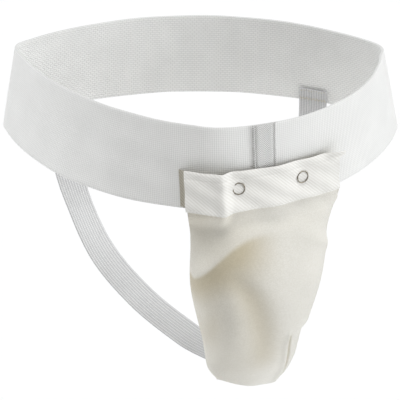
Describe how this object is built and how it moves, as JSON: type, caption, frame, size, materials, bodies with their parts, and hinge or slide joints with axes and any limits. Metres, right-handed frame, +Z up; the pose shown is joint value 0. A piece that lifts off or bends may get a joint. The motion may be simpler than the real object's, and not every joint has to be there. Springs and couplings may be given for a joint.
{
  "type": "groin protector",
  "caption": "Groin protector: wide elastic waistband, snap-top knit pocket holding a hard vented cup, and elastic leg straps.",
  "frame": {"origin": "middle of the waist opening, half way up the waistband", "axes": "+Z up, -Y the front, +X to the viewer's right facing the front"},
  "size_m": [0.345, 0.2494, 0.2695],
  "materials": {
    "band_elastic": "woven elastic webbing, matt",
    "strap_elastic": "ribbed elastic, matt",
    "seam_tape": "herringbone cotton tape",
    "facing_twill": "cotton twill strip",
    "pocket_knit": "fine cotton knit, cream",
    "lining_knit": "fine cotton knit, cream",
    "seam_thread": "overlock thread",
    "tack_thread": "polyester thread, beige",
    "hem_thread": "polyester thread",
    "snap_metal": "stamped ring, darkened",
    "cup_plastic": "moulded polypropylene",
    "cup_trim": "soft moulded edge"
  },
  "bodies": {
    "waist_and_pocket": {"waistband": "band_elastic", "front_seam_tape": "seam_tape", "front_panel": "pocket_knit", "pocket_lining": "lining_knit", "left_side_seam": "seam_thread", "right_side_seam": "seam_thread", "left_leg_strap": "strap_elastic", "right_leg_strap": "strap_elastic", "left_strap_tack": "tack_thread", "right_strap_tack": "tack_thread", "strap_foot_stitching": "tack_thread", "left_snap_stud": "snap_metal", "right_snap_stud": "snap_metal", "left_snap_post_ring": "snap_metal", "right_snap_post_ring": "snap_metal"},
    "flap": {"top_facing": "facing_twill", "facing_hem_stitching": "hem_thread", "left_snap_cap_ring": "snap_metal", "right_snap_cap_ring": "snap_metal", "left_snap_socket": "snap_metal", "right_snap_socket": "snap_metal"},
    "cup": {"cup_shell": "cup_plastic", "cup_edge_trim": "cup_trim"}
  },
  "joints": [
    {"name": "flap_open", "type": "hinge", "parent": "waist_and_pocket", "child": "flap", "pos_m": [0.06137, -0.10812, -0.0379], "axis": [0.9511, 0.309, 0], "range_deg": [0, 105]},
    {"name": "cup_shift", "type": "slide", "parent": "waist_and_pocket", "child": "cup", "axis": [0.0309, -0.0951, 0.995], "range_m": [0, 0.005]}
  ]
}
